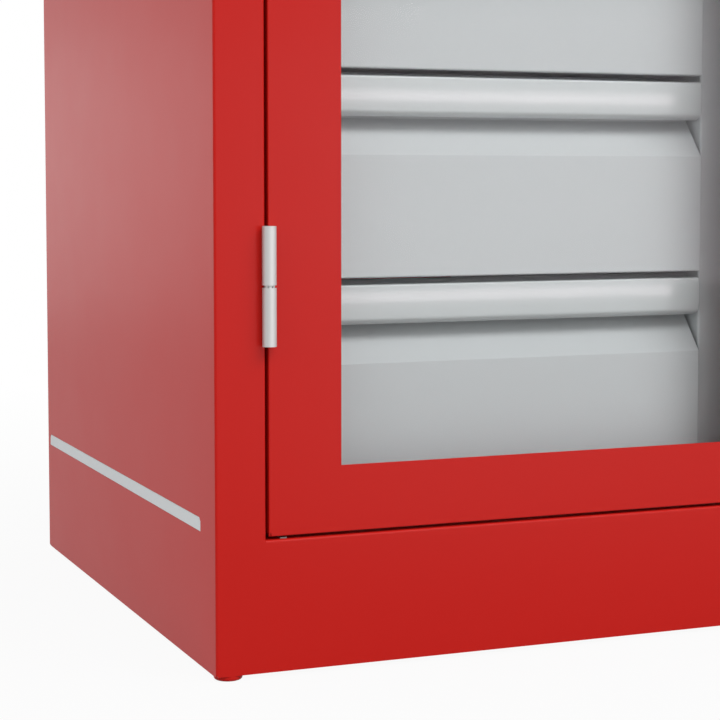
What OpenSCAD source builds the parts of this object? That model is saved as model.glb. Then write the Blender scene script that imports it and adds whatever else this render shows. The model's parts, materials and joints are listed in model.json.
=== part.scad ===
// Heavy-duty drawer cabinet: a red sheet-steel carcass with a glazed door on lift-off
// hinges and four grey drawers on telescopic runners behind it.
// Millimetres. +Z is up, the door faces -Y, and the floor is z = 0 under the middle of the part.

/* [Cabinet] */
// Width over the side panels
cabinet_w = 600; // [560:1:760]
// Depth from the front face to the back of the side panels
cabinet_d = 610; // [590:1:760]
// Thickness of the carcass and door sheet
sheet_t = 1.5; // [1.2:0.1:2]
// Inside radius of every bend
bend_r = 0.5; // [0.4:0.1:2]
// Height of a foot under the carcass
foot_h = 4.5; // [4:0.5:20]
// Diameter of a foot
foot_d = 24; // [18:1:24]
// Distance of a foot's centre from the side of the cabinet
foot_inset_x = 14; // [12:0.5:24]
// Distance of a foot's centre from the front or back of the cabinet
foot_inset_y = 12; // [12:0.5:24]
// Distance from the sides to the middle of a rear foot
rear_foot_inset_x = 22; // [14:0.5:28]
// Width of a corner plate that carries a foot
corner_plate_w = 52; // [36:1:80]
// Height of the plain strip over the door opening
header_h = 20; // [16:1:60]
// Height of the turned-down edge of the top panel
top_edge_h = 27; // [20:1:60]
// Width of the flanges along the back of the side panels
rear_flange = 25; // [15:1:40]
// Distance between the two wall anchor holes
anchor_spacing = 400; // [200:1:440]
// Diameter of a wall anchor hole
anchor_d = 9; // [6:0.5:12]
// Depth of the wall anchor holes below the top of the rear panel
anchor_drop = 60; // [40:1:120]

/* [Front frame] */
// Width of the post on each side of the door
post_w = 43.5; // [36:0.5:60]
// Depth of the frame round the door opening
frame_depth = 24; // [23:0.5:30]
// Width of the lip that stops the door
stop_lip = 18; // [16:0.5:20]
// Height of the plinth's top edge above the floor
plinth_h = 115.2; // [90:0.1:160]

/* [Floor tray] */
// Height of the tray's surface above the plinth's top edge
floor_rise = 4.8; // [2:0.1:10]
// Height of the tray lip that shows in the side panels
lip_h = 9.8; // [8:0.1:16]
// Distance of the lip's front end from the front face
lip_front = 41.6; // [35:0.1:60]
// Distance of the lip's back end from the back of the cabinet
lip_back = 12; // [5:0.5:40]
// Cut across the upper corners of the lip
lip_chamfer = 3.2; // [1:0.1:5]
// Space between the lip and its slot
lip_clear = 0.25; // [0.1:0.05:0.5]

/* [Door] */
// Gap between the door and the frame round it
door_gap = 2.7; // [2:0.1:4]
// Depth of the folded door panel
door_depth = 22; // [20:0.5:22.5]
// Width of the turned-in lip round the back of the door
door_lip = 12; // [8:0.5:16]
// Width of the door on each side of the window
stile_w = 63.8; // [58:0.1:80]
// Height of the door below the window
bottom_rail_h = 55.8; // [40:0.1:80]
// Height of the door above the window
top_rail_h = 54.7; // [40:0.1:80]
// Outside radius of the door's folded edges
door_edge_r = 0.9; // [0.8:0.1:3]
// Size of the square relief in the corners of the folds
corner_relief = 3; // [2:0.5:4]
// Thickness of the window pane
pane_t = 4; // [3:0.5:6]
// How far the pane reaches past the window opening
pane_overlap = 12; // [8:0.5:14]
// Thickness of the seal in front of the pane
seal_t = 1; // [0.5:0.1:2]
// Width of the seal
seal_w = 8; // [5:0.5:8]
// Sheet thickness of the strips that hold the pane
retainer_t = 1.2; // [1:0.1:1.5]
// Width of each flange of those strips
retainer_w = 10; // [8:0.5:12]
// Height of a door glide
glide_h = 1.1; // [1:0.1:2.8]
// Length of a door glide along the plinth
glide_len = 5.5; // [5:0.5:14]
// Distance of a door glide from the post
glide_inset = 13.5; // [6:0.5:30]

/* [Hinges] */
// Diameter of a hinge barrel
barrel_d = 11.8; // [10:0.1:14]
// Length of a hinge
hinge_len = 98; // [80:1:140]
// Distance from the door's lower or upper edge to the middle of a hinge
hinge_inset = 206.5; // [120:0.5:240]
// Diameter of a hinge pin
pin_d = 7; // [5:0.1:8]
// Space round the pin in its bores
pin_clear = 0.05; // [0.02:0.01:0.1]
// Height of the ring between the two barrels
ring_h = 2.2; // [1.5:0.1:4]
// Thickness of a hinge leaf
leaf_t = 1.2; // [1:0.1:1.3]
// Depth of a hinge leaf behind the front face
leaf_depth = 18; // [12:0.5:20]

/* [Drawers] */
// Distance of the drawer fronts behind the door's face
drawer_setback = 52; // [48:0.5:70]
// Height of a drawer front
drawer_front_h = 174; // [150:1:220]
// Gap between one drawer front and the next
drawer_gap = 6; // [4:0.5:10]
// Depth of a drawer from its front to its back wall
drawer_depth = 500; // [470:1:520]
// Thickness of the drawer sheet
drawer_t = 1.2; // [1:0.1:1.5]
// Space between the top drawer and the upper edge of the door opening
top_clear = 17; // [16:0.5:30]
// Height of the lowest drawer's lower edge above the floor tray
drawer_floor_gap = 26.3; // [20:0.1:60]
// Drop of the drawer walls below the top of the front
wall_drop = 24; // [20:0.5:60]
// Width of the turned-in rim along the drawer walls
rim_w = 7; // [4:0.5:12]
// Height of the handle's face
handle_h = 31.5; // [26:0.5:40]
// Bulge of the handle's face
handle_bulge = 1.4; // [0.5:0.1:2]
// Thickness of the handle profile
handle_t = 1.6; // [1.2:0.1:2.5]
// Inside radius of the handle's round nose
handle_nose_r = 2.4; // [1:0.1:2.6]
// Inside radius of the handle's other bends
handle_edge_r = 0.4; // [0.2:0.1:0.8]
// Depth of the slanting underside
grip_depth = 11; // [8:0.5:12]
// Height of the turned-up edge behind the grip
grip_edge = 6; // [5:0.5:10]
// Drop of the slanting underside behind the handle's face
grip_drop = 4.2; // [2:0.1:6]
// Clearance between the dust rib on top of the handle and the next drawer
rib_clear = 2.2; // [1.4:0.1:3]
// Run of the dust rib's slope
rib_run = 11; // [6:0.5:16]
// Depth of the finger recess behind the front
recess_depth = 26; // [22:0.5:32]
// Drop of the recess's upper bend below the top of the front
recess_top = 36; // [36:0.5:48]
// Drop of the recess's lower bend below the top of the front
recess_bottom = 68; // [60:0.5:80]

/* [Runners] */
// Distance of the inner cheeks from the outer faces
cheek_x = 109; // [100:0.5:116]
// Depth of the cheeks' front edge behind the drawer fronts
cheek_setback = 6; // [3:0.5:20]
// Space between a drawer front and the cheek beside it
front_side_gap = 3; // [2:0.5:6]
// Length of a runner
runner_len = 420; // [380:1:450]
// Height of a runner
runner_h = 45; // [36:0.5:60]
// Thickness of a runner between cheek and drawer
runner_t = 14; // [12:0.5:20]
// Height of the runner's middle above the drawer's lower edge
runner_rise = 62; // [40:0.5:80]
// Sheet thickness of the runner members
rail_t = 1.5; // [1.2:0.1:2]
// Running space between the runner members
rail_clear = 0.4; // [0.3:0.05:0.6]

/* [Lock] */
// Distance of the lock's middle from the door's closing edge
lock_inset = 20; // [18:0.5:22]
// Width of the lock case
case_w = 28; // [24:0.5:30]
// Height of the lock case
case_h = 110; // [90:1:160]
// Depth of the lock case
case_depth = 18; // [15:0.5:19]
// Diameter of the locking rods
rod_d = 8; // [6:0.5:9]
// Space round a rod in its guides
rod_clear = 0.08; // [0.03:0.01:0.1]
// How far a rod's end stays inside the door when it is unlocked
rod_end_inset = 1; // [0.5:0.5:4]
// Distance of a rod's inner end from the middle of the lock
rod_start = 24; // [18:0.5:30]
// Distance from the door's edge to the middle of a rod guide
guide_inset = 40; // [25:1:80]
// Diameter of the lock spindle
spindle_d = 14; // [12:0.5:16]
// Diameter of the rosette
rosette_d = 40; // [36:1:42]
// Thickness of the rosette
rosette_t = 3; // [2:0.5:5]
// Length of the grip
grip_len = 66; // [50:1:80]
// Width of the grip
grip_w = 22; // [18:0.5:28]
// Thickness of the grip
grip_t = 14; // [10:0.5:20]
// Length of the grip's neck
neck_len = 9; // [6:0.5:16]
// Diameter of the key plug
plug_d = 12; // [10:0.5:14]
// Depth of the key plug
plug_depth = 18; // [12:0.5:20]

/* [Hidden] */

drawer_count = 4;
$fn = 48;
bend_steps = 4;
eps = 0.01;

red = [0.72, 0.08, 0.07];
light_grey = [0.73, 0.75, 0.76];
steel = [0.62, 0.63, 0.64];
black = [0.08, 0.08, 0.09];
white = [0.9, 0.9, 0.88];

// Heights, from the floor up
panel_z0 = foot_h;
floor_z = plinth_h + floor_rise;
door_z0 = plinth_h + door_gap;
drawer_pitch = drawer_front_h + drawer_gap;
first_drawer_z = floor_z + drawer_floor_gap;
last_drawer_top = first_drawer_z + drawer_count * drawer_pitch - drawer_gap;
opening_top = last_drawer_top + top_clear;
door_z1 = opening_top - door_gap;
panel_z1 = opening_top + header_h;
cabinet_h = panel_z1 + top_edge_h;

// The door and its window
door_x0 = post_w + door_gap;
door_x1 = cabinet_w - door_x0;
window_x0 = door_x0 + stile_w;
window_x1 = cabinet_w - window_x0;
window_z0 = door_z0 + bottom_rail_h;
window_z1 = door_z1 - top_rail_h;
pane_y0 = sheet_t + seal_t;
pane_y1 = pane_y0 + pane_t;

// The hinge line
hinge_space = 0.3;
hinge_x = post_w + door_gap / 2;
hinge_y = -(barrel_d / 2 + hinge_space);
hinge_heights = [door_z0 + hinge_inset, door_z1 - hinge_inset];

// The lock
lock_x = door_x1 - lock_inset;
lock_z = (door_z0 + door_z1) / 2;
rod_y = sheet_t + case_depth / 2 + 1;
proud = rosette_t + neck_len + grip_t;

// The drawers and runners
drawer_x0 = cheek_x + front_side_gap;
drawer_x1 = cabinet_w - drawer_x0;
box_x0 = cheek_x + runner_t;
box_x1 = cabinet_w - box_x0;
cheek_y0 = drawer_setback + cheek_setback;
back_y = cabinet_d - 2 * sheet_t;
box_y1 = drawer_setback + drawer_depth;
runner_y0 = drawer_setback + recess_depth + 8;

// Turns a profile into a strip along one axis
module along_x(x0, x1) { translate([x0, 0, 0]) rotate([90, 0, 90]) linear_extrude(x1 - x0) children(); }
module along_y(y0, y1) { translate([0, y1, 0]) rotate([90, 0, 0]) linear_extrude(y1 - y0) children(); }
module along_z(z0, z1) { translate([0, 0, z0]) linear_extrude(z1 - z0) children(); }

// A block between two corners
module block(low, high) { translate(low) cube(high - low); }

// A round bar along Y, from y0 to y1
module bar_y(x, z, y0, y1, d) { translate([x, y0, z]) rotate([-90, 0, 0]) cylinder(h = y1 - y0, d = d); }

// The same thing on the right, as on the left of the cabinet
module other_side() { translate([cabinet_w, 0, 0]) mirror([1, 0, 0]) children(); }
module both_sides() {
    children();
    other_side() children();
}

// Places the cabinet so that the middle of its footprint is the origin
module placed() { translate([-cabinet_w / 2, -(cabinet_d - proud) / 2, 0]) children(); }

// Folded sheet: a path along one face, the sheet lying to the left of it, with round bends. The inside
// radius is one number for all bends or a list with one for each point
function unit(v) = v / norm(v);
function left_of(u) = [-u[1], u[0]];
function turn(u, v) = atan2(u[0] * v[1] - u[1] * v[0], u * v);
function bend_centre(p, u, v, k) = p + k * (left_of(u) + left_of(v)) / (1 + u * v);
function bend_arc(p, u, v, d, t, r) =
    let (a = turn(u, v), left = a > 0,
         c = bend_centre(p, u, v, left ? r + t : -r),
         out = left ? -left_of(u) : left_of(u),
         a0 = atan2(out[1], out[0]),
         radius = left ? r + t - d : r + d)
    [for (i = [0:bend_steps]) c + radius * [cos(a0 + a * i / bend_steps), sin(a0 + a * i / bend_steps)]];
function sheet_face(path, d, t, r) =
    let (n = len(path),
         dir = [for (i = [0:n - 2]) unit(path[i + 1] - path[i])])
    concat([path[0] + d * left_of(dir[0])],
           [for (i = [1:n - 2]) each bend_arc(path[i], dir[i - 1], dir[i], d, t, is_list(r) ? r[i] : r)],
           [path[n - 1] + d * left_of(dir[n - 2])]);
function reversed(list) = [for (i = [len(list) - 1:-1:0]) list[i]];
module folded(path, t, r = bend_r) {
    polygon(concat(sheet_face(path, 0, t, r), reversed(sheet_face(path, t, t, r))));
}

// A rectangle with round corners at its low second coordinate, such as a bent front edge
module bent_front(a0, a1, b0, b1, r) {
    union() {
        translate([a0, b0 + r]) square([a1 - a0, b1 - b0 - r]);
        translate([a0 + r, b0]) square([a1 - a0 - 2 * r, r + eps]);
        translate([a0 + r, b0 + r]) circle(r);
        translate([a1 - r, b0 + r]) circle(r);
    }
}

// A block whose four front edges are bent round
module bent_block(low, high, r) {
    intersection() {
        along_z(low[2], high[2]) bent_front(low[0], high[0], low[1], high[1], r);
        along_x(low[0], high[0]) rotate(90) mirror([0, 1]) bent_front(low[2], high[2], low[1], high[1], r);
    }
}

// The slot shape of the floor tray's lip in the side panels, seen from the left
module lip_outline(grow) {
    y0 = lip_front - grow;
    y1 = cabinet_d - lip_back + grow;
    z0 = floor_z - sheet_t - grow;
    z1 = floor_z + lip_h + grow;
    polygon([[y0, z0], [y1, z0], [y1, z1 - lip_chamfer], [y1 - lip_chamfer, z1],
             [y0 + lip_chamfer, z1], [y0, z1 - lip_chamfer]]);
}

// Carcass

module side_panel() {
    toe_front = 4.4;
    toe_back = 10;
    toe_h = 1.3;
    wall = [[rear_flange, cabinet_d], [0, cabinet_d], [0, 0], [post_w, 0]];
    door_return = [[post_w, frame_depth], [post_w + stop_lip, frame_depth]];
    difference() {
        union() {
            along_z(panel_z0, plinth_h) folded(wall, sheet_t);
            along_z(plinth_h, opening_top) folded(concat(wall, door_return), sheet_t);
            along_z(opening_top, panel_z1) folded(wall, sheet_t);
        }
        along_x(-1, sheet_t + 1) lip_outline(lip_clear);
        along_x(-1, sheet_t + eps)
            polygon([[-eps, panel_z0 - eps], [toe_front, panel_z0 - eps], [-eps, panel_z0 + toe_h]]);
        along_x(-1, sheet_t + eps)
            polygon([[cabinet_d + eps, panel_z0 - eps], [cabinet_d + eps, panel_z0 + toe_h],
                     [cabinet_d - toe_back, panel_z0 - eps]]);
    }
}
module left_side_panel() { color(red) side_panel(); }
module right_side_panel() { color(red) other_side() side_panel(); }

module rear_panel() {
    anchor_z = panel_z1 - anchor_drop;
    color(red) difference() {
        block([sheet_t + bend_r, back_y, panel_z0], [cabinet_w - sheet_t - bend_r, back_y + sheet_t, panel_z1]);
        for (side = [-1, 1])
            bar_y(cabinet_w / 2 + side * anchor_spacing / 2, anchor_z, back_y - 1, cabinet_d, anchor_d);
    }
}

module top_panel() {
    outer_r = bend_r + sheet_t;
    color(red) difference() {
        intersection() {
            along_y(0, cabinet_d) mirror([0, 1])
                bent_front(0, cabinet_w, -cabinet_h, -panel_z1, outer_r);
            along_x(0, cabinet_w) mirror([0, 1])
                bent_front(0, cabinet_d, -cabinet_h, -panel_z1, outer_r);
        }
        intersection() {
            along_y(0, cabinet_d) mirror([0, 1])
                bent_front(sheet_t, cabinet_w - sheet_t, -(cabinet_h - sheet_t), -(panel_z1 - 1), bend_r);
            along_x(0, cabinet_w) mirror([0, 1])
                bent_front(sheet_t, cabinet_d - sheet_t, -(cabinet_h - sheet_t), -(panel_z1 - 1), bend_r);
        }
    }
}

module floor_tray() {
    front_y = frame_depth + sheet_t;
    hem_h = 18;
    color(light_grey) union() {
        block([sheet_t, front_y + sheet_t, floor_z - sheet_t], [cabinet_w - sheet_t, back_y, floor_z]);
        block([post_w, front_y, floor_z - hem_h], [cabinet_w - post_w, front_y + sheet_t, floor_z]);
        both_sides() along_x(0, sheet_t) lip_outline(0);
    }
}

// Rods drop into a hole of this diameter in the plinth and in the header
strike_d = rod_d + 2;
module strike_hole(z0, z1) { translate([lock_x, rod_y, z0]) cylinder(h = z1 - z0, d = strike_d); }

module front_plinth() {
    bottom_return = 20;
    back_lip = 12;
    tight_r = 0.2;
    color(red) difference() {
        union() {
            along_x(post_w, cabinet_w - post_w)
                folded([[frame_depth, plinth_h - back_lip], [frame_depth, plinth_h], [0, plinth_h],
                        [0, panel_z0]], sheet_t, [0, tight_r, 2 * bend_r, 0]);
            block([post_w, sheet_t / 2, panel_z0], [cabinet_w - post_w, bottom_return, panel_z0 + sheet_t]);
        }
        strike_hole(plinth_h - back_lip, plinth_h + 1);
    }
}

module header_rail() {
    top_return = 20;
    back_lip = 12;
    color(red) difference() {
        along_x(post_w, cabinet_w - post_w)
            folded([[top_return, panel_z1], [0, panel_z1], [0, opening_top], [frame_depth, opening_top],
                    [frame_depth, opening_top + back_lip]], sheet_t);
        strike_hole(opening_top - 1, opening_top + back_lip);
    }
}

// A runner is hooked into two slots of the cheek
hook_slot = [3, 12];
hook_end = 60;
function hook_positions() = [runner_y0 + hook_end, runner_y0 + runner_len - hook_end];

// The cheek's front strip closes the space beside the drawers, and its wall carries the runners
module cheek() {
    strip_x0 = post_w + 1.5;
    return_w = 20;
    difference() {
        along_z(floor_z, panel_z1)
            folded([[strip_x0, cheek_y0 + return_w], [strip_x0, cheek_y0], [cheek_x, cheek_y0],
                    [cheek_x, back_y], [cheek_x - return_w, back_y]], sheet_t);
        for (k = [1:drawer_count], y = hook_positions())
            along_x(cheek_x - sheet_t - 1, cheek_x + 1)
                translate([y, runner_z(k)]) square(hook_slot, center = true);
    }
}
module left_cheek() { color(light_grey) cheek(); }
module right_cheek() { color(light_grey) other_side() cheek(); }

// The four feet and the plates that they are screwed into
stem_d = 8;
stem_clear = 0.1;
plate_t = 3;
plate_z = panel_z0 + sheet_t;
module at_each_foot() {
    both_sides() {
        translate([foot_inset_x, foot_inset_y, 0]) children();
        translate([rear_foot_inset_x, cabinet_d - foot_inset_y, 0]) children();
    }
}
module corner_plates() {
    front_y = sheet_t + 2 * bend_r;
    color(red) difference() {
        both_sides() {
            block([sheet_t, front_y, plate_z], [corner_plate_w, corner_plate_w, plate_z + plate_t]);
            block([sheet_t, back_y - corner_plate_w, plate_z], [corner_plate_w, back_y, plate_z + plate_t]);
        }
        at_each_foot() cylinder(h = cabinet_h, d = stem_d + 2 * stem_clear);
    }
}
module feet() {
    edge_r = foot_h / 2;
    stem_end = plate_z + plate_t + 6;
    color(red) at_each_foot() union() {
        rotate_extrude() union() {
            translate([0, edge_r]) square([foot_d / 2, foot_h - edge_r]);
            square([foot_d / 2 - edge_r, foot_h / 2 + eps]);
            intersection() {
                translate([foot_d / 2 - edge_r, edge_r]) circle(edge_r);
                square(foot_d);
            }
        }
        cylinder(h = stem_end, d = stem_d);
    }
}

module door_glides() {
    y0 = sheet_t + 3 * bend_r;
    beside_rod = lock_x - strike_d - glide_len;
    color(white) for (x = [post_w + glide_inset, beside_rod])
        block([x, y0, plinth_h], [x + glide_len, frame_depth / 2, plinth_h + glide_h]);
}

// Runners: three channels inside each other, on each side of each drawer

// A channel with its back at x and its flanges reaching to x_end
module channel(x, x_end, z, h) {
    flanges_right = [[x_end, z + h / 2], [x, z + h / 2], [x, z - h / 2], [x_end, z - h / 2]];
    folded(x_end > x ? flanges_right : reversed(flanges_right), rail_t);
}
function runner_z(k) = drawer_z(k) + runner_rise;
nest = 2 * (rail_t + rail_clear);
middle_x = cheek_x + rail_t + rail_clear;
flange_end = box_x0 - 1;

module runner_member(x, x_end, k, h) {
    both_sides() along_y(runner_y0, runner_y0 + runner_len) channel(x, x_end, runner_z(k), h);
}
module cabinet_rails() {
    color(steel) for (k = [1:drawer_count]) runner_member(cheek_x, flange_end, k, runner_h);
}
module middle_rails(k) { color(steel) runner_member(middle_x, flange_end, k, runner_h - nest); }
module drawer_rails(k) {
    color(steel) runner_member(box_x0, middle_x + rail_t + rail_clear, k, runner_h - 2 * nest);
}

// Lift-off hinges

// One barrel with its leaf, standing on z = 0, bored from above or below for the pin
module barrel(h, leaf_x, bore_z0, bore_z1) {
    difference() {
        union() {
            translate([hinge_x, hinge_y, 0]) cylinder(h = h, d = barrel_d);
            block([leaf_x, hinge_y, 0], [leaf_x + leaf_t, leaf_depth, h]);
        }
        translate([hinge_x, hinge_y, bore_z0]) cylinder(h = bore_z1 - bore_z0, d = pin_d + 2 * pin_clear);
    }
}
barrel_h = (hinge_len - ring_h) / 2;
pin_reach = barrel_h - 8;
module hinge_lower_barrels() {
    color(steel) for (z = hinge_heights)
        translate([0, 0, z - hinge_len / 2]) barrel(barrel_h, post_w, barrel_h - pin_reach, barrel_h + 1);
}
module hinge_upper_barrels() {
    color(steel) for (z = hinge_heights)
        translate([0, 0, z + ring_h / 2]) barrel(barrel_h, door_x0 - leaf_t, -1, pin_reach + 1);
}
module hinge_pins() {
    length = 2 * pin_reach + ring_h;
    color(steel) for (z = hinge_heights)
        translate([hinge_x, hinge_y, z - length / 2]) cylinder(h = length, d = pin_d);
}
module hinge_rings() {
    ring_d = barrel_d - 2.6;
    notch_w = 1.1;
    notch_count = 8;
    notch_turn = -7;
    notch_h = ring_h * 3 / 4;
    color(steel) for (z = hinge_heights) translate([hinge_x, hinge_y, z - ring_h / 2]) difference() {
        cylinder(h = ring_h, d = ring_d);
        translate([0, 0, -1]) cylinder(h = ring_h + 2, d = pin_d + 2 * pin_clear);
        for (i = [0:notch_count - 1]) rotate(360 / notch_count * (i + 0.5) + notch_turn)
            block([0, -notch_w / 2, -1], [ring_d, notch_w / 2, notch_h]);
    }
}

// Door

module door_shell() {
    difference() {
        bent_block([door_x0, 0, door_z0], [door_x1, door_depth, door_z1], door_edge_r);
        bent_block([door_x0 + sheet_t, sheet_t, door_z0 + sheet_t],
                   [door_x1 - sheet_t, door_depth - sheet_t, door_z1 - sheet_t], bend_r);
        block([door_x0 + door_lip, door_depth / 2, door_z0 + door_lip],
              [door_x1 - door_lip, door_depth + 1, door_z1 - door_lip]);
    }
}
module door_panel() {
    rod_hole_d = rod_d + 1.2;
    relief_y = sheet_t + bend_r;
    slit_x = 1;
    slit_w = 0.8;
    color(red) difference() {
        door_shell();
        block([window_x0, -1, window_z0], [window_x1, door_depth / 2, window_z1]);
        bar_y(lock_x, lock_z, -1, door_depth / 2, spindle_d + 1);
        translate([lock_x, rod_y, door_z0 - 1]) cylinder(h = sheet_t + 2, d = rod_hole_d);
        translate([lock_x, rod_y, door_z1 - sheet_t - 1]) cylinder(h = sheet_t + 2, d = rod_hole_d);
        for (x = [door_x0, door_x1], z = [door_z0, door_z1])
            block([x - corner_relief, relief_y, z - corner_relief],
                  [x + corner_relief, door_depth + 1, z + corner_relief]);
        both_sides() block([door_x0 + slit_x, -1, door_z0 - 1],
                           [door_x0 + slit_x + slit_w, relief_y + 1, door_z0 + corner_relief]);
    }
}

// A frame-shaped block round the window, reaching from past_in to past_out beyond its edge
module window_ring(past_in, past_out, y0, y1) {
    difference() {
        block([window_x0 - past_out, y0, window_z0 - past_out], [window_x1 + past_out, y1, window_z1 + past_out]);
        block([window_x0 - past_in, y0 - 1, window_z0 - past_in], [window_x1 + past_in, y1 + 1, window_z1 + past_in]);
    }
}
module window_pane() {
    color([0.8, 0.9, 0.95, 0.25])
        block([window_x0 - pane_overlap, pane_y0, window_z0 - pane_overlap],
              [window_x1 + pane_overlap, pane_y1, window_z1 + pane_overlap]);
}
module pane_seal() { color(black) window_ring(pane_overlap - seal_w, pane_overlap, sheet_t, pane_y0); }

// Z-shaped strips screwed to the door hold the pane's edges
retainer_clear = bend_r + 0.1;
module retainer_profile(pane_edge) {
    web = pane_edge - retainer_clear;
    folded([[web - retainer_w, sheet_t], [web, sheet_t], [web, pane_y1],
            [pane_edge + retainer_w, pane_y1]], retainer_t);
}
module pane_retainers() {
    low_x = window_x0 - pane_overlap;
    low_z = window_z0 - pane_overlap;
    end_x = low_x + retainer_w + 1;
    color(light_grey) {
        both_sides() along_z(low_z, window_z1 + pane_overlap) retainer_profile(low_x);
        for (flip = [0, 1]) translate([0, 0, flip * (window_z0 + window_z1)]) mirror([0, 0, flip])
            along_x(end_x, cabinet_w - end_x) rotate(90) mirror([0, 1]) retainer_profile(low_z);
    }
}

// Lock: a turning grip drives two rods through a case behind the door

module lock_case() {
    color(steel) difference() {
        block([lock_x - case_w / 2, sheet_t, lock_z - case_h / 2],
              [lock_x + case_w / 2, sheet_t + case_depth, lock_z + case_h / 2]);
        translate([lock_x, rod_y, lock_z - case_h / 2 - 1]) cylinder(h = case_h + 2, d = rod_d + 2 * rod_clear);
        bar_y(lock_x, lock_z, 0, door_depth, spindle_d + 2 * pin_clear);
    }
}
module lock_rosette() {
    color(black) difference() {
        bar_y(lock_x, lock_z, -rosette_t, 0, rosette_d);
        bar_y(lock_x, lock_z, -rosette_t - 1, 1, spindle_d + 1);
    }
}
module lock_grip() {
    end_shift = (grip_len - grip_w) / 2;
    neck_y = -(rosette_t + neck_len);
    neck_d = grip_w + 4;
    neck_gap = 0.3;
    color(black) difference() {
        union() {
            bar_y(lock_x, lock_z, neck_y, -rosette_t - neck_gap, neck_d);
            bar_y(lock_x, lock_z, neck_y, sheet_t + case_depth, spindle_d);
            block([lock_x - grip_w / 2, -proud, lock_z - end_shift], [lock_x + grip_w / 2, neck_y, lock_z + end_shift]);
            for (side = [-1, 1]) bar_y(lock_x, lock_z + side * end_shift, -proud, neck_y, grip_w);
        }
        bar_y(lock_x, lock_z, -proud - 1, -proud + plug_depth, plug_d + 2 * pin_clear);
    }
}
module key_plug() {
    keyway = [2, 8, 7];
    color(steel) difference() {
        bar_y(lock_x, lock_z, -proud, -proud + plug_depth, plug_d);
        translate([lock_x, -proud, lock_z]) cube(keyway, center = true);
    }
}
module rod_guides() {
    half_w = 9;
    half_h = 7;
    color(black) for (z = [door_z0 + guide_inset, door_z1 - guide_inset]) difference() {
        block([lock_x - half_w, sheet_t, z - half_h], [lock_x + half_w, rod_y + rod_d, z + half_h]);
        translate([lock_x, rod_y, z - half_h - 1]) cylinder(h = 2 * half_h + 2, d = rod_d + 2 * rod_clear);
    }
}
module rod(z0, z1) { color(steel) translate([lock_x, rod_y, z0]) cylinder(h = z1 - z0, d = rod_d); }
module upper_rod() { rod(lock_z + rod_start, door_z1 - rod_end_inset); }
module lower_rod() { rod(door_z0 + rod_end_inset, lock_z - rod_start); }

// Drawers, numbered from the bottom

function drawer_z(k) = first_drawer_z + (k - 1) * drawer_pitch;

module drawer_front(k) {
    yf = drawer_setback;
    zb = drawer_z(k);
    zt = zb + drawer_front_h;
    hem = 14;
    color(light_grey) union() {
        along_x(drawer_x0, drawer_x1)
            folded([[yf + recess_depth, zt - handle_t], [yf + recess_depth, zt - recess_top],
                    [yf, zt - recess_bottom], [yf, zb], [yf + hem, zb]], drawer_t);
        both_sides() block([drawer_x0, yf + drawer_t / 2, zb + drawer_t / 2],
                           [drawer_x0 + drawer_t, yf + hem, zt - recess_bottom - bend_r]);
    }
}

// The handle's section: a top plate, a gently bulged face with a round nose, a slanting underside and a
// turned-up edge for the fingers
module handle_section() {
    face_r = pow(handle_h / 2, 2) / (2 * handle_bulge) + handle_bulge / 2;
    face_steps = 6;
    face = [for (i = [0:face_steps])
        let (z = handle_h * (0.5 - i / face_steps)) [face_r - sqrt(face_r * face_r - z * z), z - handle_h / 2]];
    low_z = -handle_h - grip_drop;
    path = concat([[recess_depth + drawer_t, 0]], face, [[grip_depth, low_z], [grip_depth, low_z + grip_edge]]);
    radii = concat([0, handle_edge_r], [for (i = [1:face_steps - 1]) face_r * 3 / 4],
                   [handle_nose_r, handle_edge_r, 0]);
    folded(path, handle_t, radii);
}
// A sloped rib on the handle closes most of the gap below the next drawer
module drawer_handle(k) {
    zt = drawer_z(k) + drawer_front_h;
    rib_y1 = drawer_setback + recess_depth + drawer_t;
    rib_y0 = rib_y1 - rib_run;
    rib_top = zt + drawer_gap - rib_clear;
    rib_low = zt - handle_t / 2;
    color(light_grey) union() {
        along_x(drawer_x0, drawer_x1) translate([drawer_setback, zt]) handle_section();
        if (k < drawer_count)
            along_x(drawer_x0, drawer_x1)
                polygon([[rib_y0, rib_low], [rib_y1, rib_low], [rib_y1, rib_top], [rib_y0, zt]]);
    }
}

module drawer_box(k) {
    yf = drawer_setback;
    zb = drawer_z(k);
    zt = zb + drawer_front_h;
    top = zt - wall_drop;
    low_y = yf + drawer_t + bend_r;
    wall_y = yf + recess_depth + drawer_t;
    slope_drop = 2;
    color(light_grey) union() {
        block([box_x0, low_y, zb + drawer_t], [box_x1, box_y1, zb + 2 * drawer_t]);
        both_sides() along_x(box_x0, box_x0 + drawer_t)
            polygon([[low_y, zb + drawer_t], [box_y1, zb + drawer_t], [box_y1, top], [wall_y, top],
                     [wall_y, zt - recess_top - slope_drop], [low_y, zt - recess_bottom - slope_drop]]);
        both_sides() block([box_x0, wall_y, top - drawer_t], [box_x0 + rim_w, box_y1, top]);
        block([box_x0, box_y1 - drawer_t, zb + drawer_t], [box_x1, box_y1, top]);
    }
}

placed() left_side_panel();
placed() right_side_panel();
placed() rear_panel();
placed() top_panel();
placed() floor_tray();
placed() front_plinth();
placed() header_rail();
placed() left_cheek();
placed() right_cheek();
placed() corner_plates();
placed() feet();
placed() door_glides();
placed() cabinet_rails();
placed() hinge_lower_barrels();
placed() hinge_pins();
placed() hinge_rings();
placed() door_panel();
placed() window_pane();
placed() pane_seal();
placed() pane_retainers();
placed() hinge_upper_barrels();
placed() lock_case();
placed() lock_rosette();
placed() rod_guides();
placed() lock_grip();
placed() key_plug();
placed() upper_rod();
placed() lower_rod();
for (k = [1:drawer_count]) {
    placed() drawer_front(k);
    placed() drawer_box(k);
    placed() drawer_handle(k);
    placed() drawer_rails(k);
    placed() middle_rails(k);
}
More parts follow.
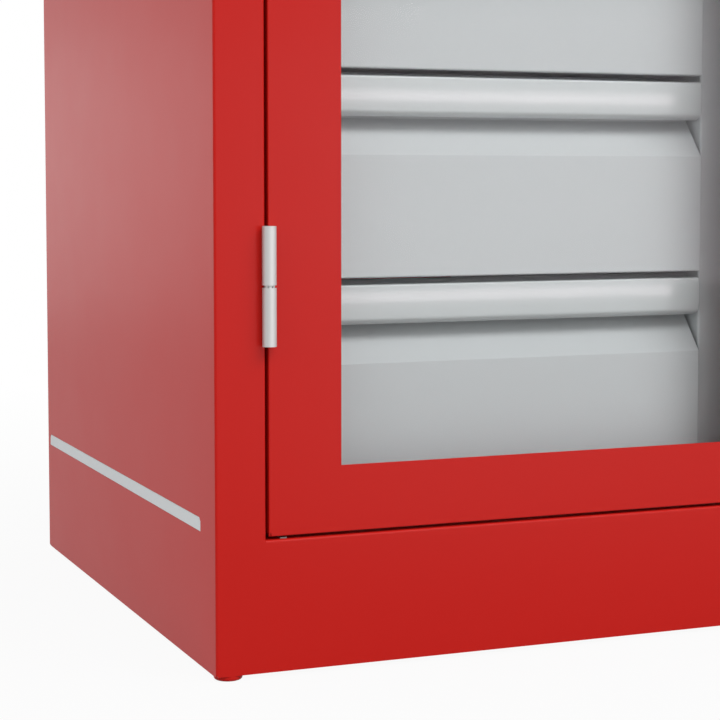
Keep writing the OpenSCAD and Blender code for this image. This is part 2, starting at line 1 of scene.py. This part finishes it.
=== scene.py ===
# %% [markdown]
# # A heavy-duty drawer cabinet
# The cabinet is a red sheet-steel case with a glazed door, and grey drawers show through the pane. Its
# solids come from CAD, in metres, with every piece already in its place. Blender adds what CAD leaves out:
# coats, metals, soft edges, small fasteners, light and a camera. The first cell loads the solids.

# %% Load the imported cabinet
import json
import math

import bpy
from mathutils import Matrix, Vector


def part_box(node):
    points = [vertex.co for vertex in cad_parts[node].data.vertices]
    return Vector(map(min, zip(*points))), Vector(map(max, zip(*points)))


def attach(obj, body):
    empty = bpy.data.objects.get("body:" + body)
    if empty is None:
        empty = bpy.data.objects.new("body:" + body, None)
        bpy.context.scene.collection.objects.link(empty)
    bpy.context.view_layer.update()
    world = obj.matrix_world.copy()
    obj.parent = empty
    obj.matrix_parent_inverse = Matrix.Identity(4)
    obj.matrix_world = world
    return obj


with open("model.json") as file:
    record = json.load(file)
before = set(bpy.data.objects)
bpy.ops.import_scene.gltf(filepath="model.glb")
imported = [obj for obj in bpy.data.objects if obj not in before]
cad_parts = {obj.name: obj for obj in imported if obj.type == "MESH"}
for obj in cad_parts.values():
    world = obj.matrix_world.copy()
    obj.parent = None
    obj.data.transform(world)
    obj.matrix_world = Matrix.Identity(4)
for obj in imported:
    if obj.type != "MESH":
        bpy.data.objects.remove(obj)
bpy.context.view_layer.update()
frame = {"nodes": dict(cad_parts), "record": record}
nodes = frame["nodes"]

# %% [markdown]
# ## Camera
# The picture is a close look at the lower left part of the cabinet, taken with a long lens from a little
# over 40 cm above the floor. Its upright edges stay nearly upright, which a camera gives when it looks
# almost level and its lens is shifted down. A full shift would push the cabinet out of other views, so most
# of the drop is a small tilt and only the rest is shift.

# %% Place the camera
IMAGE_SIZE = 720
SENSOR_WIDTH = 36.0
FOCAL_PIXELS = 1876.6
LENS_SHIFT = -0.07
CAMERA_PLACE = (-0.7591, -1.734, 0.4105)
CAMERA_YAW = math.radians(22.109)
CAMERA_TILT = math.radians(3.947)

camera_data = bpy.data.cameras.new("photo_camera")
camera_data.sensor_width = SENSOR_WIDTH
camera_data.lens = FOCAL_PIXELS / IMAGE_SIZE * SENSOR_WIDTH
camera_data.shift_y = LENS_SHIFT
camera = bpy.data.objects.new("photo_camera", camera_data)
camera.location = CAMERA_PLACE
camera.rotation_euler = (math.pi / 2 - CAMERA_TILT, 0, -CAMERA_YAW)
bpy.context.scene.collection.objects.link(camera)
bpy.context.scene.camera = camera
print("camera lens", round(camera_data.lens, 1), "mm")

# %% [markdown]
# ## Sky
# A white studio can be a curved backdrop, or a floor under a white sky. The second is simpler to keep white
# from every side. The sky shows plain white to the camera, to mirrors and through glass, and it lights the
# cabinet at a lower level, so the coats keep their own colours. The Light Path node tells the two apart.
# The Standard view transform shows a colour about as it is written, and keeps white white.

# %% White sky
SKY_LIGHT = 0.66


def seen_directly(tree, in_mirrors):
    """1 for what the camera sees, itself or through glass, and in_mirrors for a reflection"""
    path = tree.nodes.new("ShaderNodeLightPath")
    straight = tree.nodes.new("ShaderNodeMath")
    straight.operation = "MAXIMUM"
    tree.links.new(path.outputs["Is Camera Ray"], straight.inputs[0])
    tree.links.new(path.outputs["Is Transmission Ray"], straight.inputs[1])
    mirrored = tree.nodes.new("ShaderNodeMath")
    mirrored.operation = "MULTIPLY"
    mirrored.inputs[1].default_value = in_mirrors
    tree.links.new(path.outputs["Is Glossy Ray"], mirrored.inputs[0])
    either = tree.nodes.new("ShaderNodeMath")
    either.operation = "MAXIMUM"
    tree.links.new(straight.outputs[0], either.inputs[0])
    tree.links.new(mirrored.outputs[0], either.inputs[1])
    return either.outputs[0]


bpy.context.scene.view_settings.view_transform = "Standard"
world = bpy.data.worlds.new("white_studio")
bpy.context.scene.world = world
world.use_nodes = True
sky = world.node_tree.nodes["Background"]
sky.inputs["Color"].default_value = (1.0, 1.0, 1.0, 1.0)
strength = world.node_tree.nodes.new("ShaderNodeMapRange")
strength.inputs["To Min"].default_value = SKY_LIGHT
strength.inputs["To Max"].default_value = 1.0
world.node_tree.links.new(seen_directly(world.node_tree, in_mirrors=1.0), strength.inputs["Value"])
world.node_tree.links.new(strength.outputs["Result"], sky.inputs["Strength"])
print("sky lights at", SKY_LIGHT)

# %% [markdown]
# ## Floor
# A shadow catcher would need a compositor to lay the shadow over white, so the floor mixes its own shade
# with plain white instead. It is white to the camera like the sky, and a little less white in mirrors. Near
# the cabinet a part of its own shade stays in, and with it the soft shadow under the cabinet. Farther out
# the floor fades to the white of the sky, so no horizon shows.

# %% Floor sheet
FLOOR_HALF = 12.0

floor_mesh = bpy.data.meshes.new("studio_floor")
floor_corners = [(-FLOOR_HALF, -FLOOR_HALF, 0), (FLOOR_HALF, -FLOOR_HALF, 0),
                 (FLOOR_HALF, FLOOR_HALF, 0), (-FLOOR_HALF, FLOOR_HALF, 0)]
floor_mesh.from_pydata(floor_corners, [], [(0, 1, 2, 3)])
floor = bpy.data.objects.new("studio_floor", floor_mesh)
bpy.context.scene.collection.objects.link(floor)
print("floor", 2 * FLOOR_HALF, "m square")

# %% Floor finish
FLOOR_SHADE = 0.45
FLOOR_WHITE_NEAR = 0.94
FLOOR_FADE = (0.4, 2.0)
FLOOR_WHITE_IN_MIRRORS = 0.67

floor_coat = bpy.data.materials.new("pale_floor")
floor_coat.use_nodes = True
floor_tree = floor_coat.node_tree
floor_tree.nodes.remove(floor_tree.nodes["Principled BSDF"])
floor_shade = floor_tree.nodes.new("ShaderNodeBsdfDiffuse")
floor_shade.inputs["Color"].default_value = (FLOOR_SHADE, FLOOR_SHADE, FLOOR_SHADE, 1.0)
floor_white = floor_tree.nodes.new("ShaderNodeEmission")
floor_place = floor_tree.nodes.new("ShaderNodeTexCoord")
floor_reach = floor_tree.nodes.new("ShaderNodeVectorMath")
floor_reach.operation = "LENGTH"
floor_tree.links.new(floor_place.outputs["Object"], floor_reach.inputs[0])
floor_fade = floor_tree.nodes.new("ShaderNodeMapRange")
floor_fade.inputs["From Min"].default_value = FLOOR_FADE[0]
floor_fade.inputs["From Max"].default_value = FLOOR_FADE[1]
floor_fade.inputs["To Min"].default_value = FLOOR_WHITE_NEAR
floor_tree.links.new(floor_reach.outputs["Value"], floor_fade.inputs["Value"])
floor_share = floor_tree.nodes.new("ShaderNodeMath")
floor_share.operation = "MULTIPLY"
floor_tree.links.new(seen_directly(floor_tree, FLOOR_WHITE_IN_MIRRORS), floor_share.inputs[0])
floor_tree.links.new(floor_fade.outputs["Result"], floor_share.inputs[1])
floor_mix = floor_tree.nodes.new("ShaderNodeMixShader")
floor_tree.links.new(floor_share.outputs[0], floor_mix.inputs["Fac"])
floor_tree.links.new(floor_shade.outputs[0], floor_mix.inputs[1])
floor_tree.links.new(floor_white.outputs[0], floor_mix.inputs[2])
floor_tree.links.new(floor_mix.outputs[0], floor_tree.nodes["Material Output"].inputs["Surface"])
floor_mesh.materials.append(floor_coat)
print("floor fades from", FLOOR_FADE[0], "to", FLOOR_FADE[1], "m")

# %% [markdown]
# ## Lamps
# The front is the brighter face, the left side is softer, and the hinge throws a narrow, soft shadow to its
# left. The grip lips lie in the shadow of the handles, while a wide band of light runs along each handle's
# middle. A small lamp would throw a long, dark shadow beside the hinge, so the main softbox is wide and
# stands high in front, a little to the right. A weak one on the left lifts the side. Three more lamps only
# show in what mirrors them: a low, faintly pink strip in front for the band on the bulged handles, a card
# on the floor for the lower half of the handles, and a low glow behind, which the smooth side panel mirrors
# as a pale wash.

# %% Lamp helper
CABINET_FRONT = (0.0, -0.25, 0.42)
PLAIN_WHITE = (1.0, 1.0, 1.0)


def add_lamp(name, place, size, watts, lights_coats, tint=PLAIN_WHITE, aim=CABINET_FRONT):
    """A rectangular lamp that lights the cabinet, or one that only shows in what mirrors it"""
    data = bpy.data.lights.new(name, "AREA")
    data.shape = "RECTANGLE"
    data.size = size[0]
    data.size_y = size[1]
    data.energy = watts
    data.color = tint
    lamp = bpy.data.objects.new(name, data)
    lamp.location = place
    lamp.visible_diffuse = lights_coats
    lamp.visible_camera = False
    lamp.rotation_euler = (Vector(aim) - Vector(place)).to_track_quat("-Z", "Y").to_euler()
    bpy.context.scene.collection.objects.link(lamp)
    print(name, watts, "W")


# %% Softboxes, strip lamp, floor card and glow
add_lamp("high_softbox", place=(1.57, -4.135, 5.06), size=(6.0, 2.2), watts=237.0, lights_coats=True)
add_lamp("side_softbox", place=(-3.2, -0.8, 1.8), size=(2.5, 2.5), watts=16.0, lights_coats=True)
add_lamp("low_strip_lamp", place=(2.6, -5.58, 0.55), size=(2.1, 1.1), watts=48.0, lights_coats=False,
         tint=(1.0, 0.86, 0.9))
add_lamp("floor_card", place=(0.65, -1.4, 0.01), size=(1.3, 1.2), watts=5.5, lights_coats=False,
         aim=(0.65, -1.4, 1.0))
add_lamp("rear_glow", place=(-1.1, 3.4, 0.42), size=(1.5, 0.75), watts=1.6, lights_coats=False)

# %% [markdown]
# ## What the finishes share
# A surface of one colour and one gloss looks like plastic film. Each coat, metal and plastic here varies in
# three ways: a drift of shade, an uneven gloss and a fine bump. All three come from noise on Object
# coordinates, so the pattern stays on the piece when it moves.

# %% Noise, shade, gloss and grain
def start_finish(name):
    """A new material, with its tree, its shader and the Object coordinates for its noise"""
    material = bpy.data.materials.new(name)
    material.use_nodes = True
    tree = material.node_tree
    place = tree.nodes.new("ShaderNodeTexCoord")
    return material, tree, tree.nodes["Principled BSDF"], place.outputs["Object"]


def noise(tree, place, scale, detail):
    """A noise at that place: a higher scale gives a finer pattern"""
    texture = tree.nodes.new("ShaderNodeTexNoise")
    texture.inputs["Scale"].default_value = scale
    texture.inputs["Detail"].default_value = detail
    tree.links.new(place, texture.inputs["Vector"])
    return texture.outputs["Fac"]


def vary_shade(tree, shader, colour, spread, pattern):
    """Makes the colour darker and lighter by the spread, as the pattern says"""
    shades = tree.nodes.new("ShaderNodeMix")
    shades.data_type = "RGBA"
    shades.inputs["A"].default_value = (*[c * (1 - spread) for c in colour], 1)
    shades.inputs["B"].default_value = (*[min(1, c * (1 + spread)) for c in colour], 1)
    tree.links.new(pattern, shades.inputs["Factor"])
    tree.links.new(shades.outputs["Result"], shader.inputs["Base Color"])


def vary_gloss(tree, shader, gloss, pattern):
    """Lets the roughness go from the first to the second value of gloss"""
    rough = tree.nodes.new("ShaderNodeMapRange")
    rough.inputs["To Min"].default_value = gloss[0]
    rough.inputs["To Max"].default_value = gloss[1]
    tree.links.new(pattern, rough.inputs["Value"])
    tree.links.new(rough.outputs["Result"], shader.inputs["Roughness"])


def raise_grain(tree, shader, strength, depth, pattern):
    """Adds a bump of that depth, in metres"""
    bump = tree.nodes.new("ShaderNodeBump")
    bump.inputs["Strength"].default_value = strength
    bump.inputs["Distance"].default_value = depth
    tree.links.new(pattern, bump.inputs["Height"])
    tree.links.new(bump.outputs["Normal"], shader.inputs["Normal"])


print("finish helpers ready")

# %% [markdown]
# ## Powder coats
# Sheet-steel cabinets are powder coated: a baked plastic skin with a faint orange-peel grain and no
# scratches when new. The shade drifts slowly over a sheet, the gloss in patches of a few centimetres, and
# the grain is finer than a millimetre or two, so each of the three has its own noise.

# %% Coat helper
DRIFT_SCALE = 2.5
PATCH_SCALE = 18
PEEL_SCALE = 700
PEEL_DEPTH = 0.0004


def powder_coat(name, colour, drift, gloss, peel, shine):
    """A baked coat: its colour, the drift of its shade, its roughness range, its grain and its shine"""
    material, tree, shader, place = start_finish(name)
    shader.inputs["Specular IOR Level"].default_value = shine
    vary_shade(tree, shader, colour, drift, noise(tree, place, DRIFT_SCALE, detail=2))
    vary_gloss(tree, shader, gloss, noise(tree, place, PATCH_SCALE, detail=3))
    raise_grain(tree, shader, peel, PEEL_DEPTH, noise(tree, place, PEEL_SCALE, detail=1))
    return material


# %% Red, grey, tray and handle coats
red_coat = powder_coat("red_powder_coat", colour=(0.562, 0.0115, 0.0075), drift=0.02,
                       gloss=(0.29, 0.33), peel=0.06, shine=0.122)
grey_coat = powder_coat("grey_powder_coat", colour=(0.658, 0.68, 0.69), drift=0.015,
                        gloss=(0.34, 0.42), peel=0.04, shine=0.12)
# The tray's lighter, shinier grey is painted light for its lip, which sits in the dimmer side.
painted_light_tray_coat = powder_coat("tray_painted_light_coat", colour=(0.75, 0.8, 0.815), drift=0.015,
                        gloss=(0.34, 0.42), peel=0.04, shine=0.3)
handle_coat = powder_coat("handle_satin_coat", colour=(0.66, 0.687, 0.692), drift=0.01,
                          gloss=(0.2, 0.25), peel=0.02, shine=0.5)
print("coats:", red_coat.name, grey_coat.name, painted_light_tray_coat.name, handle_coat.name)

# %% [markdown]
# ## Bare metals
# The hinges are satin steel, the runners zinc-plated strip and the rods bright drawn bar. What tells them
# apart is the direction and strength of the fine lines that the tools leave. Noise stretched along one axis
# gives such lines, and it drives the shade, the roughness and a small bump.

# %% Metal helper
STREAK = 0.12
LINE_BUMP = 0.08
LINE_DEPTH = 0.0002


def drawn_metal(name, colour, gloss, lines):
    """Metal with fine lines: its colour, its roughness range and the scale of its grain along X, Y, Z"""
    material, tree, shader, place = start_finish(name)
    shader.inputs["Metallic"].default_value = 1.0
    stretch = tree.nodes.new("ShaderNodeMapping")
    stretch.inputs["Scale"].default_value = lines
    tree.links.new(place, stretch.inputs["Vector"])
    grain = noise(tree, stretch.outputs["Vector"], scale=1.0, detail=3)
    vary_shade(tree, shader, colour, STREAK, grain)
    vary_gloss(tree, shader, gloss, grain)
    raise_grain(tree, shader, LINE_BUMP, LINE_DEPTH, grain)
    return material


# %% Hinge, runner and rod metals
hinge_steel = drawn_metal("satin_hinge_steel", colour=(0.565, 0.568, 0.564), gloss=(0.6, 0.68),
                          lines=(420, 420, 4))
runner_zinc = drawn_metal("zinc_runner_strip", colour=(0.6, 0.61, 0.63), gloss=(0.3, 0.45),
                          lines=(400, 12, 400))
rod_steel = drawn_metal("drawn_rod_steel", colour=(0.56, 0.57, 0.58), gloss=(0.22, 0.34),
                        lines=(900, 900, 20))
print("metals:", hinge_steel.name, runner_zinc.name, rod_steel.name)

# %% [markdown]
# ## Plastics and rubber
# The lock grip and the rod guides are grained black plastic, the door glides nylon and the seal soft
# rubber. The glides sit deep in the door gap, so their nylon has a mid grey, a painted shade in place of
# its
# own pale tone. They share one recipe: a dark or mid-grey body, a fine moulded grain and a matt gloss.

# %% Moulded helper
MOULD_SPREAD = 0.08
MOULD_DEPTH = 0.0003


def moulded(name, colour, gloss, grain_scale, grain_bump):
    """Moulded plastic or rubber: its colour, roughness range, and the scale and strength of its grain"""
    material, tree, shader, place = start_finish(name)
    grain = noise(tree, place, grain_scale, detail=2)
    vary_shade(tree, shader, colour, MOULD_SPREAD, grain)
    vary_gloss(tree, shader, gloss, grain)
    raise_grain(tree, shader, grain_bump, MOULD_DEPTH, grain)
    return material


# %% Black plastic, nylon and rubber
black_plastic = moulded("grained_black_plastic", colour=(0.022, 0.022, 0.024), gloss=(0.42, 0.55),
                        grain_scale=900, grain_bump=0.25)
# The nylon's mid grey is painted shade for glides deep in the door gap.
painted_shade_nylon = moulded("painted_shade_nylon", colour=(0.32, 0.31, 0.3), gloss=(0.35, 0.45),
                     grain_scale=300, grain_bump=0.05)
seal_rubber = moulded("soft_seal_rubber", colour=(0.018, 0.018, 0.018), gloss=(0.6, 0.75),
                      grain_scale=600, grain_bump=0.15)
print("moulded:", black_plastic.name, painted_shade_nylon.name, seal_rubber.name)

# %% [markdown]
# ## Window pane
# The pane is clear acrylic. A glass shader would block the lamps and leave the drawers dark, so the pane
# lets light straight through and adds only the mirror that any clear sheet has, which grows towards a
# slanting view. A faint unevenness in that mirror keeps it from looking like a hole.

# %% Clear pane
PANE_TINT = (0.985, 0.99, 0.99, 1)
PANE_HAZE_SCALE = 6
PANE_HAZE = (0.02, 0.06)
PANE_MIRROR = 1.12

clear_pane = bpy.data.materials.new("clear_acrylic")
clear_pane.use_nodes = True
pane_tree = clear_pane.node_tree
pane_tree.nodes.remove(pane_tree.nodes["Principled BSDF"])
through = pane_tree.nodes.new("ShaderNodeBsdfTransparent")
through.inputs["Color"].default_value = PANE_TINT
mirror = pane_tree.nodes.new("ShaderNodeBsdfGlossy")
pane_place = pane_tree.nodes.new("ShaderNodeTexCoord")
haze = noise(pane_tree, pane_place.outputs["Object"], PANE_HAZE_SCALE, detail=2)
vary_gloss(pane_tree, mirror, PANE_HAZE, haze)
slant = pane_tree.nodes.new("ShaderNodeFresnel")
slant.inputs["IOR"].default_value = PANE_MIRROR
pane_mix = pane_tree.nodes.new("ShaderNodeMixShader")
pane_tree.links.new(slant.outputs[0], pane_mix.inputs["Fac"])
pane_tree.links.new(through.outputs[0], pane_mix.inputs[1])
pane_tree.links.new(mirror.outputs[0], pane_mix.inputs[2])
pane_tree.links.new(pane_mix.outputs[0], pane_tree.nodes["Material Output"].inputs["Surface"])
print("pane:", clear_pane.name)

# %% [markdown]
# ## Coats on the CAD pieces
# Every CAD piece has a material slot in the record that says what it is made of. Reading that slot keeps
# the finish in one place: a drawer front gets the grey coat because the record calls it grey paint. Only
# the floor tray differs: its lip shows as a pale line in the dimmer left side, so its grey is painted
# lighter and shinier than the drawers' grey, as painted light.

# %% Dress every node
FINISH_OF_SLOT = {
    "red_paint": red_coat,
    "grey_paint": grey_coat,
    "handle_grey": handle_coat,
    "runner_steel": runner_zinc,
    "hinge_steel": hinge_steel,
    "rod_steel": rod_steel,
    "black_plastic": black_plastic,
    "white_plastic": painted_shade_nylon,
    "seal_rubber": seal_rubber,
    "clear_pane": clear_pane,
}
for subpart in frame["record"]["subparts"]:
    piece = nodes[subpart["node"]]
    for slot in piece.material_slots:
        slot.material = FINISH_OF_SLOT[subpart["material_slot"]]
# The floor tray takes the lighter grey, painted light for its lip in the side.
for slot in nodes["floor_tray"].material_slots:
    slot.material = painted_light_tray_coat

# %% [markdown]
# ## Soft bends
# The solids arrive as loose triangles, so every bend would show its facets. More triangles would only hide
# this. A small node tree instead joins the triangles and shades a bend smoothly where the faces meet at a
# low angle, and one tree serves every piece.

# %% Smooth-bend tree
SMOOTH_ANGLE = math.radians(32)
JOIN_DISTANCE = 0.00001


def smooth_bend_tree():
    """Joins loose triangles and shades smoothly across low angles"""
    tree = bpy.data.node_groups.new("smooth_bends", "GeometryNodeTree")
    tree.interface.new_socket("Geometry", in_out="INPUT", socket_type="NodeSocketGeometry")
    tree.interface.new_socket("Geometry", in_out="OUTPUT", socket_type="NodeSocketGeometry")
    start = tree.nodes.new("NodeGroupInput")
    join = tree.nodes.new("GeometryNodeMergeByDistance")
    join.inputs["Distance"].default_value = JOIN_DISTANCE
    smooth = tree.nodes.new("GeometryNodeSetShadeSmooth")
    smooth.domain = "FACE"
    angle = tree.nodes.new("GeometryNodeInputMeshEdgeAngle")
    low = tree.nodes.new("FunctionNodeCompare")
    low.operation = "LESS_THAN"
    low.inputs["B"].default_value = SMOOTH_ANGLE
    crease = tree.nodes.new("GeometryNodeSetShadeSmooth")
    crease.domain = "EDGE"
    end = tree.nodes.new("NodeGroupOutput")
    tree.links.new(start.outputs[0], join.inputs["Geometry"])
    tree.links.new(join.outputs["Geometry"], smooth.inputs["Geometry"])
    tree.links.new(smooth.outputs["Geometry"], crease.inputs["Geometry"])
    tree.links.new(angle.outputs["Unsigned Angle"], low.inputs["A"])
    tree.links.new(low.outputs["Result"], crease.inputs["Shade Smooth"])
    tree.links.new(crease.outputs["Geometry"], end.inputs[0])
    return tree


smooth_bends = smooth_bend_tree()
for piece in nodes.values():
    modifier = piece.modifiers.new("smooth_bends", "NODES")
    modifier.node_group = smooth_bends
print("smoothed", len(nodes), "nodes")

# %% [markdown]
# ## Round edges
# Pieces that are moulded or drawn have a small round edge, which catches the light. A Bevel after the node
# tree gives it to them. The sheets that butt against each other at the posts keep their sharp ends, because
# those seams are welded and ground flush.

# %% Bevels
EDGE_RADIUS = {
    "drawer_handle": 0.0005,
    "lock_grip": 0.0016,
    "lock_case": 0.001,
    "lock_rosette": 0.0008,
    "rod_guides": 0.0008,
    "upper_rod": 0.0008,
    "lower_rod": 0.0008,
    "hinge_lower_barrels": 0.0003,
    "hinge_upper_barrels": 0.0003,
}
EDGE_STEPS = 2
SHARP_ANGLE = math.radians(40)


def round_edges(piece, radius):
    """A small bevel on the sharp edges of a piece"""
    bevel = piece.modifiers.new("round_edges", "BEVEL")
    bevel.width = radius
    bevel.segments = EDGE_STEPS
    bevel.limit_method = "ANGLE"
    bevel.angle_limit = SHARP_ANGLE
    bevel.harden_normals = True


rounded = 0
for name, piece in nodes.items():
    for start_of_name, radius in EDGE_RADIUS.items():
        if name.startswith(start_of_name):
            round_edges(piece, radius)
            rounded += 1
print("rounded", rounded, "nodes")

# %% [markdown]
# ## Flat sheets
# Smooth shading also bends the light on a wide sheet next to a small bend. Normals that are weighted by
# area follow the large face, so flat stays flat and only the bend itself is smooth.

# %% Weighted normals
LARGE_FACES_FIRST = 100

for piece in nodes.values():
    flat = piece.modifiers.new("flat_faces", "WEIGHTED_NORMAL")
    flat.mode = "FACE_AREA"
    flat.weight = LARGE_FACES_FIRST
    flat.keep_sharp = True
print("weighted the normals of", len(nodes), "nodes")

# %% [markdown]
# ## Fasteners
# Two rows of small heads are too fine for the CAD model. Blind rivets join the rear panel to the folded
# edges of the sides, and flat dome screws hold the strips that clamp the pane. Copies placed by hand would
# all need moving when a row changes. A node tree instead takes a line, spaces points along it and puts one
# head on each. The head is made inside the tree: a disc that is pushed up and narrowed step by step to a
# dome, and then sunk in the middle, where a rivet's pin has broken off or a screw has its socket.

# %% Dome head
HEAD_SIDES = 20
DOME_STEPS = ((0.35, 0.97), (0.3, 0.88), (0.22, 0.76), (0.13, 0.6))
SINK_STEPS = ((0.0, 0.62), (-0.5, 0.9))


def dome_head(tree, given):
    """A round head of the given radius and height: each step rises by a share and narrows by a factor"""
    link = tree.links.new
    disc = tree.nodes.new("GeometryNodeMeshCircle")
    disc.fill_type = "NGON"
    disc.inputs["Vertices"].default_value = HEAD_SIDES
    link(given["Head Radius"], disc.inputs["Radius"])
    head = disc.outputs["Mesh"]
    top = None
    for rise, narrow in DOME_STEPS + SINK_STEPS:
        height = tree.nodes.new("ShaderNodeMath")
        height.operation = "MULTIPLY"
        height.inputs[1].default_value = rise
        link(given["Head Height"], height.inputs[0])
        push = tree.nodes.new("GeometryNodeExtrudeMesh")
        link(head, push.inputs["Mesh"])
        link(height.outputs[0], push.inputs["Offset Scale"])
        if top is not None:
            link(top, push.inputs["Selection"])
        top = push.outputs["Top"]
        pinch = tree.nodes.new("GeometryNodeScaleElements")
        pinch.inputs["Scale"].default_value = narrow
        link(push.outputs["Mesh"], pinch.inputs["Geometry"])
        link(top, pinch.inputs["Selection"])
        head = pinch.outputs["Geometry"]
    return head


# %% Head-row tree
def head_row_tree():
    """Round heads along a line: spacing, radius, height, the way they face and their finish are inputs"""
    tree = bpy.data.node_groups.new("head_row", "GeometryNodeTree")
    tree.interface.new_socket("Geometry", in_out="INPUT", socket_type="NodeSocketGeometry")
    for label, kind in (("Spacing", "Float"), ("Head Radius", "Float"), ("Head Height", "Float"),
                        ("Facing", "Vector"), ("Finish", "Material")):
        tree.interface.new_socket(label, in_out="INPUT", socket_type="NodeSocket" + kind)
    tree.interface.new_socket("Geometry", in_out="OUTPUT", socket_type="NodeSocketGeometry")
    given = tree.nodes.new("NodeGroupInput").outputs
    link = tree.links.new
    line = tree.nodes.new("GeometryNodeMeshToCurve")
    link(given["Geometry"], line.inputs["Mesh"])
    points = tree.nodes.new("GeometryNodeResampleCurve")
    points.mode = "LENGTH"
    link(line.outputs["Curve"], points.inputs["Curve"])
    link(given["Spacing"], points.inputs["Length"])
    turn = tree.nodes.new("FunctionNodeAlignRotationToVector")
    turn.axis = "Z"
    link(given["Facing"], turn.inputs["Vector"])
    copies = tree.nodes.new("GeometryNodeInstanceOnPoints")
    link(points.outputs["Curve"], copies.inputs["Points"])
    link(dome_head(tree, given), copies.inputs["Instance"])
    link(turn.outputs["Rotation"], copies.inputs["Rotation"])
    solid = tree.nodes.new("GeometryNodeRealizeInstances")
    link(copies.outputs["Instances"], solid.inputs["Geometry"])
    coat = tree.nodes.new("GeometryNodeSetMaterial")
    link(solid.outputs["Geometry"], coat.inputs["Geometry"])
    link(given["Finish"], coat.inputs["Material"])
    end = tree.nodes.new("NodeGroupOutput")
    link(coat.outputs["Geometry"], end.inputs["Geometry"])
    return tree


head_rows = head_row_tree()
print("tree", head_rows.name, "with", len(head_rows.nodes), "nodes")

# %% Row maker
def add_heads(name, lines, settings, body):
    """Runs the tree on straight lines and keeps the result as one plain mesh that rides on a body"""
    path = bpy.data.meshes.new(name + "_path")
    ends = [end for line in lines for end in line]
    path.from_pydata(ends, [(i, i + 1) for i in range(0, len(ends), 2)], [])
    piece = bpy.data.objects.new(name, path)
    bpy.context.scene.collection.objects.link(piece)
    modifier = piece.modifiers.new("head_row", "NODES")
    modifier.node_group = head_rows
    for item in head_rows.interface.items_tree:
        if item.in_out == "INPUT" and item.name in settings:
            modifier[item.identifier] = settings[item.name]
    piece.update_tag()
    made = piece.evaluated_get(bpy.context.evaluated_depsgraph_get())
    plain = bpy.data.meshes.new_from_object(made)
    piece.modifiers.clear()
    piece.data = plain
    plain.shade_smooth()
    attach(piece, body)
    print(name, len(plain.polygons), "faces on", body)


# %% [markdown]
# ## Rivets and screws in place
# Both rows take their lines from the boxes of the CAD pieces that they hold, set in from the edge by a
# fixed distance, so they follow when a size changes. The rivets sit on the rear of the side panels' folds
# and move with the case. The screws sit on the flat of the pane strips, inside the door, and swing with it.

# %% Rear rivets
RIVET_INSET = 0.0125
RIVET_END = 0.045
REARWARD = (0.0, 1.0, 0.0)
RIVET_HEADS = {"Spacing": 0.092, "Head Radius": 0.0038, "Head Height": 0.0014, "Facing": REARWARD,
               "Finish": red_coat}

side_low, side_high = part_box("left_side_panel")
rivet_x = side_low.x + RIVET_INSET
rivet_lines = [((x, side_high.y, side_low.z + RIVET_END), (x, side_high.y, side_high.z - RIVET_END))
               for x in (rivet_x, -rivet_x)]
add_heads("rear_rivets", rivet_lines, RIVET_HEADS, "carcass")

# %% Pane screws
SCREW_INSET = 0.005
SCREW_END = 0.03
STRIP_FLAT = 0.0012
SCREW_HEADS = {"Spacing": 0.11, "Head Radius": 0.0034, "Head Height": 0.0018, "Facing": REARWARD,
               "Finish": rod_steel}

strip_low, strip_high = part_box("pane_retainers")
strip_y = strip_low.y + STRIP_FLAT
screw_x = strip_low.x + SCREW_INSET
screw_low_z = strip_low.z + SCREW_INSET
screw_high_z = strip_high.z - SCREW_INSET
screw_lines = [((x, strip_y, strip_low.z + SCREW_END), (x, strip_y, strip_high.z - SCREW_END))
               for x in (screw_x, -screw_x)]
screw_lines += [((screw_x + SCREW_END, strip_y, z), (-screw_x - SCREW_END, strip_y, z))
                for z in (screw_low_z, screw_high_z)]
add_heads("pane_screws", screw_lines, SCREW_HEADS, "door")
